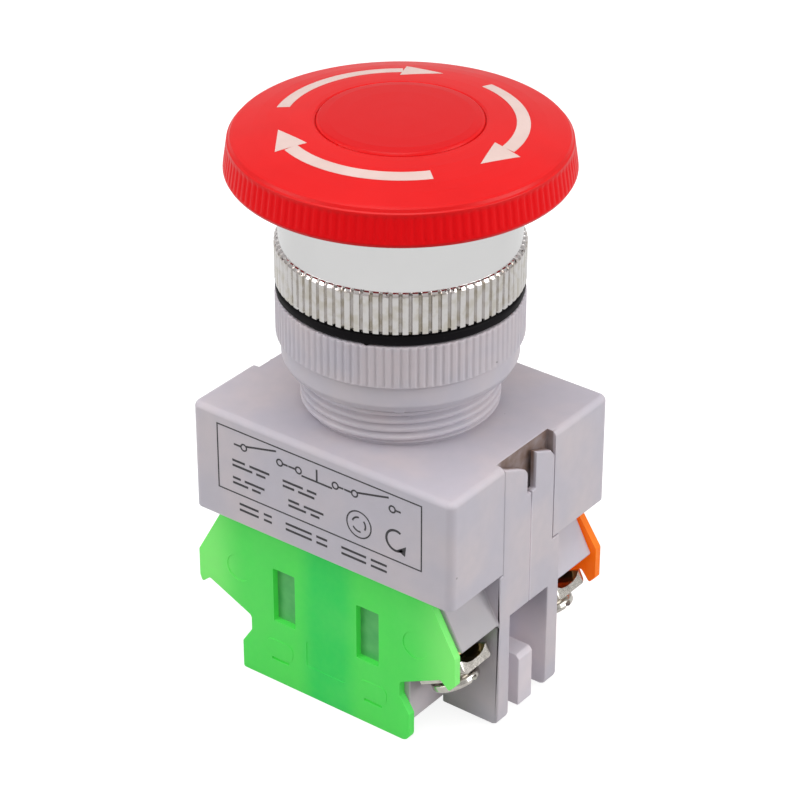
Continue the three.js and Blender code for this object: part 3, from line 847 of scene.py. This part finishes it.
def head_cap(material):
    """Red mushroom cap: fine-knurled rim between a top bead and a plain lip, hollow underneath."""
    low, high = box_mm("mushroom_cap")
    edge = high.x
    rim_low = 66.4
    groove = 0.3
    knurl_depth = 0.075
    seat = box_mm("centre_plug")[1].x
    top_edge = edge - 0.5
    profile = [
        (2.2, 66.6, 0.2), (11.0, 66.6, 0.2), (11.0, low.z, 0.2), (12.1, low.z, 0.2),
        (12.1, 69.8, 0.4), (18.2, 69.0, 0.4), (18.2, rim_low + 0.2, 0.2), (18.6, rim_low, 0.2),
        (edge - 0.3, rim_low, 0.3), (edge - 0.02, rim_low + 0.5, 0.3),
        (edge - 0.06, rim_low + 0.95, 0.2), (top_edge + 0.03, 70.05, 0.15),
        (top_edge - 0.02, 70.32, 0.12), (top_edge - 0.2, 70.43, 0.1),
        (top_edge - 0.42, 70.78, 0.1), (DOME[5][0], DOME[5][1], 0.15),
        *((r, z, 1.0) for r, z in reversed(DOME[1:5])),
        (10.6, DOME[0][1], 0.8), (seat + 0.35, 72.44, 0.25), (seat + 0.02, 72.3, 0.1),
        (seat + 0.3, 71.0, 0.3), (seat + 0.3, 68.9, 0.3), (2.2, 68.9, 0.2),
    ]
    loop = refined(rounded(profile, 5), 0.42)

    def cut(turn, radius, height):
        outside = smooth_step(radius, edge - 0.75, edge - 0.5)
        weight = outside * band(height, rim_low + 0.65, 70.1, 0.25)
        return radius - weight * knurl(turn, RIM_TEETH, groove, knurl_depth, 0.03), height

    places = (0.0, 0.16, groove, 0.42, 0.58, 1 - groove, 0.84)
    cap = turned("head_cap", loop, tooth_angles(RIM_TEETH, places), cut, 50)
    return dress(cap, material, "head", "red_plastic", "mushroom_cap")


def head_plug(material):
    """Round centre of the head: slightly domed, with a soft edge and a hollow underside."""
    low, high = box_mm("centre_plug")
    radius = high.x
    profile = [
        (0.0, high.z, 0), (3.0, high.z - 0.02, 0), (6.0, high.z - 0.09, 1.0),
        (8.2, high.z - 0.19, 1.0), (radius - 0.25, high.z - 0.36, 0.4),
        (radius, high.z - 0.68, 0.2), (radius, low.z, 0.1), (8.3, low.z, 0.1),
        (8.3, 71.3, 0.3), (0.0, 71.5, 0),
    ]
    plug = turned("head_plug", refined(rounded(profile, 6), 0.4), even_angles(256), None, 50)
    return dress(plug, material, "head", "red_plastic", "centre_plug")


ARROW_THICKNESS = 0.035
ARROW_TAIL = 201.5
ARROW_BASE = 126.2
ARROW_TIP = 106.5
SHAFT_INNER = 12.95
SHAFT_OUTER = 14.5
BARB_INNER = 11.9
BARB_OUTER = 15.5
TIP_RADIUS = 13.75


def arrow_grids(turn):
    """Grids of (x, y) points over one arrow's shaft and over its point."""

    def polar(radius, degrees):
        angle = np.radians(degrees + turn)
        return np.stack([radius * np.cos(angle), radius * np.sin(angle)], -1)

    along = np.linspace(ARROW_TAIL, ARROW_BASE, 41)
    shaft = np.linspace(polar(SHAFT_INNER, along), polar(SHAFT_OUTER, along), 9, axis=1)
    tip = polar(TIP_RADIUS, ARROW_TIP)
    inner = np.linspace(polar(BARB_INNER, ARROW_BASE + 1.5), tip, 15)
    outer = np.linspace(polar(BARB_OUTER, ARROW_BASE - 1.5), tip, 15)
    return shaft, np.linspace(inner, outer, 9, axis=1)


def arrow_patch(grid, name):
    """Thin solid that follows the head's slope under a grid of (x, y) points."""
    count, across = grid.shape[:2]
    flat = grid.reshape(-1, 2)
    height = dome_height(np.linalg.norm(flat, axis=1))
    upper = np.column_stack([flat, height + ARROW_THICKNESS])
    lower = np.column_stack([flat, height - 0.1])
    total = count * across
    faces = []
    for i in range(count - 1):
        for j in range(across - 1):
            a, b = i * across + j, (i + 1) * across + j
            faces.append((a, b, b + 1, a + 1))
            faces.append((total + a, total + a + 1, total + b + 1, total + b))
    index = np.arange(total).reshape(count, across)
    rim = np.concatenate([index[0], index[1:, -1], index[-1, -2::-1], index[-2:0:-1, 0]]).tolist()
    for k, a in enumerate(rim):
        b = rim[(k + 1) % len(rim)]
        faces.append((a, b, total + b, total + a))
    return clean(new_object(name, np.vstack([upper, lower]), faces), 60)


def head_arrows(material):
    """Three printed arrows that show which way the head turns."""
    pieces = []
    for turn in (0, -120, -240):
        pieces.extend(arrow_patch(grid, "arrow_part") for grid in arrow_grids(turn))
    return dress(joined("head_arrows", pieces), material, "head", "red_plastic")


# ---------- contact blocks ----------


def cover_half(rise, trim, tip, foot):
    """Half outline of a cover, from its bottom corner out to the ear and up to its top."""
    half = [
        (12.95, 0.0, foot), (12.95, 3.9, 0.4), (11.5, 6.1, 0.5), (11.5, 8.1, 0.6),
        (tip - 1.2, 11.0 + rise * 1.6, 0.3), (tip, 9.95 + rise, 0.25),
        (19.55, 10.9 + rise, 0.3), (19.55, 14.65 + rise * 1.5, 0.3), (15.6, 21.7, 0.3),
    ]
    return [(x - trim, z, radius) for x, z, radius in half]


def cover_outline(side_name):
    """Closed outline of a cover; the front one is a little shorter at its right end."""
    if side_name == "rear":
        return mirrored(cover_half(0.8, 0.0, 18.7, 1.1))
    left = mirrored(cover_half(0.0, 0.0, 19.2, 0.3))
    return cover_half(0.0, 0.5, 18.7, 1.1) + left[len(left) // 2:]


def cover(side_name, slot, material, window_shade_material):
    """Snap-on cover: plate with windows, ejector marks, dashes, a shallow hollow and latch bumps."""
    node = f"{side_name}_block_cover"
    side = SIDES[side_name]
    low, high = box_mm(node)
    inner, outer = sorted((abs(low.y), abs(high.y)))
    shift = low.x + 19.55
    window_floor = inner + 0.12

    def solid(points, depth0, depth1):
        return prism("solid", points, *sorted((side * depth0, side * depth1)))

    def across(x0, x1):
        return sorted((shift + x0, shift + x1))

    outline = [(a + shift, b) for a, b in rounded(cover_outline(side_name), 5)]
    plate = prism(f"{side_name}_cover", outline, *sorted((side * inner, side * outer)))
    cutters = []
    bumps = []
    for end in BOTH_ENDS:
        window = rectangle(*across(end * 4.65, end * 7.95), 8.9, 16.4, 0.15, 2)
        cutters.append(solid(window, window_floor, outer + 1))
        mark = circle(shift + end * 13.3, 14.3, 1.8, even_angles(36))
        cutters.append(solid(mark, outer - 0.1, outer + 1))
        dash = rectangle(*across(end * 5.75, end * 8.4), 3.1, 3.45, 0.12, 2)
        cutters.append(solid(dash, outer - 0.35, outer + 1))
        bump = rectangle(*across(end * 5.1, end * 9.1), 3.75, 6.1, 0.8)
        bumps.append(solid(bump, outer - 0.4, outer + 0.07))
    hollow = rectangle(*across(-3.0, 3.0), 4.3, 8.0, 0.4, 3)
    cutters.append(solid(hollow, outer - 0.07, outer + 1))
    carve(plate, *bumps, operation="UNION")
    carve(plate, *cutters)
    soften(plate, 0.12, 3, 40)
    dress(plate, material, "base", slot, node)
    # Painted shade: the window floors take the darker window colour.
    plate.data.materials.append(window_shade_material)
    floor = side * window_floor * MM
    for face in plate.data.polygons:
        middle = face.center
        if abs(middle.y - floor) < 0.02 * MM and abs(abs(middle.x - shift * MM) - 6.3 * MM) < 1.2 * MM:
            face.material_index = 1
    return plate


def refine(node, material, width=0.12, segments=2):
    """Keeps a CAD node, with rounded edges, even shading and a procedural material."""
    obj = frame["nodes"][node]
    obj.data.materials.clear()
    obj.data.materials.append(material)
    for face in obj.data.polygons:
        face.use_smooth = True
    weld = obj.modifiers.new("weld", "WELD")
    weld.merge_threshold = 0.002 * MM
    flat = obj.modifiers.new("one_face_per_plane", "DECIMATE")
    flat.decimate_type = "DISSOLVE"
    flat.angle_limit = math.radians(1.5)
    soften(obj, width, segments, 40)
    return obj


# ---------- terminals ----------


def terminal_frame(name, end):
    """Matrix from (outward, across, up the screw) in millimetres to the CAD frame in metres."""
    turn = joints[f"{name}_screw_turn"]
    up = -Vector(turn["axis"]).normalized()
    across = Vector((0.0, 1.0, 0.0))
    outward = across.cross(up)
    if outward.x * end < 0:
        outward = -outward
    place = Matrix((outward, across, up)).transposed().to_4x4()
    place.translation = Vector(turn["pos_m"]) / MM
    return place


def placed(obj, place):
    """Moves a shape drawn in a terminal's frame to its place."""
    scale = Matrix.Scale(MM, 4)
    obj.data.transform(scale @ place @ scale.inverted())
    return clean(obj)


def terminal_clamp(name, end, material):
    """Pressed clamp washer: thick plate with raised, rounded sides and a wavy upper edge."""
    half = 3.1
    inward = -2.7
    outward = 4.4
    outline = mirrored([
        (0.7, -1.5, 0.6), (1.55, -1.3, 0.5), (2.35, -0.75, 0.4), (half, -0.85, 0.35),
        (half, -1.65, 0.5), (2.3, -2.45, 0.6),
    ])
    saddle = prism(f"{name}_saddle", rounded(outline, 5), inward, outward, "x")
    plan = rectangle(inward, outward, -half, half, 0.8, 6)
    carve(saddle, prism("plan", plan, -4, 0, "z"), operation="INTERSECT")
    wings = []
    for wing_side in BOTH_ENDS:
        across = sorted((wing_side * (half - 0.45), wing_side * half))
        wings.append(prism("wing", rectangle(inward + 0.1, 0.9, *across), -2.95, -1.1, "z"))
    carve(saddle, *wings, operation="UNION")
    carve(saddle, prism("hole", circle(0, 0, 1.75, even_angles(32)), -4, 0, "z"))
    placed(saddle, terminal_frame(name, end))
    soften(saddle, 0.16, 3, 40)
    return dress(saddle, material, f"{name}_clamp", "nickel", f"{name}_clamp")


def terminal_screw(name, end, material):
    """Screw with a wide slotted rim, a dished collar above it and a threaded shank."""
    head_low = -4.6
    rim_top = -3.45
    collar_top = -2.5
    radius = 3.0
    shank = 1.4
    pitch = 0.5
    tip = 1.3
    profile = [
        (0.0, head_low + 0.05, 0), (2.0, head_low + 0.05, 0.4),
        (radius - 0.3, head_low + 0.12, 0.4), (radius, head_low + 0.45, 0.35),
        (radius, rim_top, 0.25), (2.05, rim_top + 0.25, 0.45), (2.45, collar_top, 0.2),
        (shank, collar_top, 0.1), (shank, tip - 0.4, 0.1), (0.9, tip, 0.1), (0.0, tip, 0),
    ]

    def cut(turn, r, z):
        near = thread_rise(turn, z, pitch)
        weight = (r > shank - 0.2) * (r < shank + 0.05) * band(z, collar_top + 0.2, tip - 0.2, 0.3)
        return r - weight * 0.24 * (1 - near), z

    screw = turned(f"{name}_slotted_screw", refined(rounded(profile, 5), 0.1), even_angles(56), cut, 45)
    long_slot = prism("slot", rectangle(-3.2, 3.2, -0.45, 0.45), head_low - 1, head_low + 0.85, "z")
    cross_slot = prism("cross", rectangle(-0.45, 0.45, -1.9, 1.9), head_low - 1, head_low + 0.8, "z")
    carve(screw, long_slot, cross_slot)
    placed(screw, terminal_frame(name, end))
    return dress(screw, material, f"{name}_screw", "nickel", f"{name}_screw")


# ---------- springs ----------


def coil(name, radius, wire, low, high, turns, axis="z", centre=(0.0, 0.0)):
    """Wound spring with closed end turns, made as one tube."""
    steps = int(turns * 28)
    ring = 10
    dead = 0.6 / turns
    free = high - low - 2 * wire
    ends_rise = 1.2 * wire / max(free, 1e-6)
    points = []
    for k in range(steps + 1):
        share = k / steps
        rise = np.interp(share, (0, dead, 1 - dead, 1), (0, ends_rise, 1 - ends_rise, 1))
        angle = 2 * math.pi * turns * share
        for around in even_angles(ring):
            r = radius + wire * math.cos(around)
            x = centre[0] + r * math.cos(angle)
            y = centre[1] + r * math.sin(angle)
            z = low + wire + rise * free + wire * math.sin(around)
            points.append((x, y, z) if axis == "z" else (z, x, y))
    caps = [tuple(range(ring - 1, -1, -1)), tuple(range(steps * ring, steps * ring + ring))]
    return clean(new_object(name, points, caps + loop_faces(steps + 1, ring, False)), 60)


def squeeze(spring):
    """Gives a spring its own copy of its mesh, without shortening it."""
    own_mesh(spring)


def upright_spring(name, node, body, radius, wire, turns, material, joint=None, y=0.0):
    """Coil standing between its CAD node's ends; given a joint, it gets its own copy of its mesh."""
    low, high = box_mm(node)
    made = coil(name, radius, wire, low.z, high.z, turns, "z", (0.0, y))
    dress(made, material, body, "spring_steel", node)
    if joint:
        squeeze(made)
    return made


def springs(material):
    """All springs; those given a joint, and the front contact spring, get their own copies of their meshes."""
    upright_spring("head_spring_coil", "head_return_spring", "base", 5.3, 0.5, 4.5, material, "push")
    upright_spring("twist_spring_coil", "twist_spring", "head", 7.6, 0.45, 4, material)
    low, high = box_mm("lock_spring")
    lock = coil("lock_spring_coil", 0.95, 0.2, low.x, high.x, 9, "x", (0.0, (low.z + high.z) / 2))
    dress(lock, material, "stem", "spring_steel", "lock_spring")
    for side in SIDES:
        back, contact, plunger = f"{side}_return", f"{side}_contact", f"{side}_plunger"
        slide = f"{plunger}_slide"
        low, high = box_mm(f"{back}_spring")
        y = (low.y + high.y) / 2
        upright_spring(f"{back}_coil", f"{back}_spring", "base", 1.9, 0.3, 6, material, slide, y)
        held = upright_spring(f"{contact}_coil", f"{contact}_spring", plunger, 1.2, 0.2, 5, material, None, y)
        if side == "front":
            low, high = box_mm(f"{contact}_spring")
            squeeze(held)


# ---------- printed label ----------


def plate_on_face(points, y_face):
    """Thin printed patch on a face that looks along Y, from (x, z) points."""
    return prism("patch", points, y_face - 0.02, y_face + 0.02)


def stroke(start, end, width):
    """Outline of a straight stroke."""
    a, b = np.array(start, float), np.array(end, float)
    along = (b - a) / np.linalg.norm(b - a)
    side = np.array([-along[1], along[0]]) * width / 2
    return [tuple(a - side), tuple(b - side), tuple(b + side), tuple(a + side)]


def ring_patch(y_face, x, z, radius, width, start=0.0, sweep=360.0):
    """Printed ring, or a part of one."""
    steps = max(8, int(sweep / 9))
    turns = [math.radians(start + sweep * k / steps) for k in range(steps + 1)]
    outer = circle(x, z, radius + width / 2, turns)
    inner = circle(x, z, radius - width / 2, turns)
    if sweep < 360:
        return plate_on_face(outer + inner[::-1], y_face)
    disc = plate_on_face(outer[:-1], y_face)
    return carve(disc, prism("hole", inner[:-1], y_face - 1, y_face + 1))


def label_print(material):
    """Generic print in place of the maker's: a frame, contact symbols and plain bars."""
    face = box_mm("base_housing")[0].y
    line, thick, bar = 0.17, 0.24, 0.3
    left, right, bottom, top = -15.15, 14.78, 26.05, 34.74
    pieces = []

    def draw(x0, z0, x1, z1, width):
        pieces.append(plate_on_face(stroke((x0, z0), (x1, z1), width), face))

    def ring(*shape):
        pieces.append(ring_patch(face, *shape))

    for height in (top, bottom):
        draw(left - line / 2, height, right + line / 2, height, line)
    for x in (left, right):
        draw(x, bottom + line / 2, x, top - line / 2, line)
    row = 32.8
    for x, opened in ((-11.15, True), (-2.95, False), (5.25, True)):
        ring(x, row, 0.42, 0.2)
        ring(x + 5.4, row, 0.42, 0.2)
        draw(x - 1.5, row, x - 0.5, row, thick)
        draw(x + 5.9, row, x + 6.6, row, thick)
        if opened:
            draw(x + 0.4, row + 0.28, x + 4.9, row + 1.35, thick)
        else:
            draw(x + 0.45, row - 0.55, x + 4.95, row - 0.55, thick)
            draw(x + 2.7, row - 0.45, x + 2.7, row + 1.1, thick)
    below_frame = ((-12.05, -9.15), (-8.35, -7.15), (-5.05, -1.15), (-0.45, 1.15), (3.25, 6.85), (7.55, 9.85))
    bars = (
        (30.55, ((-12.95, -11.05), (-10.35, -7.35), (-5.35, -2.35), (-1.75, -0.35))),
        (29.85, ((-12.95, -9.95), (-9.35, -7.95), (-5.35, -3.65), (-3.05, -0.65))),
        (28.15, ((-12.95, -11.75), (-11.15, -8.15), (-4.55, -2.95), (-2.25, 0.65))),
        (27.45, ((-12.95, -10.65), (-10.05, -8.75), (-4.55, -1.95), (-1.25, 0.05))),
        (24.75, below_frame), (23.95, below_frame),
    )
    for height, spans in bars:
        for start, end in spans:
            draw(start, height, end, height, bar)
    ring(5.85, 28.85, 1.75, 0.17)
    for tilt in (90, 210, 330):
        ring(5.85, 28.85, 0.95, 0.22, tilt, 75)
    x, z, radius, end = 11.15, 28.75, 1.35, math.radians(315)
    ring(x, z, radius, 0.3, 60, 255)
    tip_x, tip_z = x + radius * math.cos(end), z + radius * math.sin(end)
    barb = ((-0.75, -0.2), (0.35, -0.7), (0.5, 0.65))
    pieces.append(plate_on_face([(tip_x + a, tip_z + b) for a, b in barb], face))
    return dress(joined("label_print", pieces), material, "base", "white_plastic")


# ---------- stage ----------

FLOOR_SEEN = 0.86
FLOOR_MIRRORED = 0.5


def add_floor():
    """Plain pale floor under the object."""
    half = 2500.0
    level = cad_low.z / MM - 0.05
    corners = [(-half, -half, level), (half, -half, level), (half, half, level), (-half, half, level)]
    floor = new_object("floor", corners, [(0, 1, 2, 3)])
    floor.data.materials.append(floor_finish())


def add_looking(name, data, place, direction):
    """Adds a light or camera at a place, looking along a direction."""
    made = add_object(name, data)
    made.location = place
    made.rotation_mode = "QUATERNION"
    made.rotation_quaternion = direction.to_track_quat("-Z", "Y")
    return made


def add_light(name, place, size, power):
    """Square soft box aimed at the middle of the object."""
    data = bpy.data.lights.new(name, "AREA")
    data.shape = "SQUARE"
    data.size = size
    data.energy = power
    add_looking(name, data, place, Vector((0, 0, 0.04)) - Vector(place))


def add_world():
    """Even white surroundings, a little darker towards the horizon."""
    world = bpy.data.worlds.new("studio")
    world.use_nodes = True
    bpy.context.scene.world = world
    nodes, links = world.node_tree.nodes, world.node_tree.links
    background = nodes["Background"]
    place = nodes.new("ShaderNodeTexCoord")
    split = nodes.new("ShaderNodeSeparateXYZ")
    ramp = nodes.new("ShaderNodeMapRange")
    for key, value in {"From Min": -0.1, "From Max": 0.9, "To Min": 0.42, "To Max": 0.7}.items():
        ramp.inputs[key].default_value = value
    links.new(place.outputs["Generated"], split.inputs["Vector"])
    links.new(split.outputs["Z"], ramp.inputs["Value"])
    links.new(ramp.outputs["Result"], background.inputs["Strength"])
    background.inputs["Color"].default_value = (1.0, 1.0, 1.0, 1.0)


def add_camera():
    """Camera at the photograph's viewing angle and distance."""
    azimuth = math.radians(CAMERA_AZIMUTH)
    elevation = math.radians(CAMERA_ELEVATION)
    level = Vector((math.sin(azimuth), -math.cos(azimuth), 0.0))
    back = level * math.cos(elevation) + Vector((0, 0, math.sin(elevation)))
    right = Vector((math.cos(azimuth), math.sin(azimuth), 0.0))
    target = right * CAMERA_SHIFT_RIGHT + Vector((0, 0, CAMERA_TARGET_Z))
    data = bpy.data.cameras.new("camera")
    data.lens = CAMERA_LENS
    data.sensor_width = 36.0
    data.clip_start = 0.01
    bpy.context.scene.camera = add_looking("camera", data, target + back * CAMERA_DISTANCE, -back)


# ---------- assembly ----------


def build():
    """Makes every piece of the visual model."""
    white = white_plastic()
    red = red_plastic()
    black = black_plastic()
    nickel = metal("nickel", (0.5, 0.47, 0.43), (0.66, 0.63, 0.58), (0.22, 0.18, 0.14), 0.16, 0.25)
    brass = metal("contact_brass", (0.62, 0.44, 0.2), (0.75, 0.56, 0.28), (0.35, 0.22, 0.1), 0.28, 0.2)
    steel = metal("spring_steel", (0.42, 0.42, 0.43), (0.55, 0.55, 0.56), (0.2, 0.18, 0.16), 0.28, 0.15)
    base_shell(white)
    neck_thread(white)
    label_print(print_ink())
    mounting_nut(white)
    gasket(gasket_rubber())
    bezel(chrome())
    head_cap(red)
    head_plug(red)
    head_arrows(arrow_ink())
    # Painted shade: darker colours for the floors of the covers' windows.
    green_window_shade = window_shade_plastic("window_green_shade", (0.07, 0.42, 0.11), (0.12, 0.5, 0.15))
    orange_window_shade = window_shade_plastic("window_orange_shade", (0.4, 0.1, 0.02), (0.5, 0.16, 0.04))
    cover("front", "green_plastic", green_plastic(), green_window_shade)
    cover("rear", "orange_plastic", orange_plastic(), orange_window_shade)
    for side in SIDES:
        refine(f"{side}_block_housing", white, 0.2, 3)
        refine(f"{side}_plunger", black)
        refine(f"{side}_contact_bridge", brass)
        for end in ENDS:
            name = f"{side}_{end}"
            refine(f"{name}_terminal", brass)
            terminal_clamp(name, ENDS[end], nickel)
            terminal_screw(name, ENDS[end], nickel)
    for node in ("lock_sleeve", "actuator_stem", "pusher_plate", "twist_collar"):
        refine(node, black)
    for node in ("pusher_screw", "lock_pin_left", "lock_pin_right", "head_washer", "head_screw"):
        refine(node, nickel)
    springs(steel)


build()
add_floor()
add_world()
add_light("overhead", (0.0, -0.1, 0.6), 0.45, 1.8)
add_light("right_side", (0.57, 0.2, 0.25), 0.4, 1.9)
add_light("front_fill", (-0.4, -0.52, 0.25), 0.4, 1.5)
add_camera()
bpy.context.scene.view_settings.view_transform = "Standard"
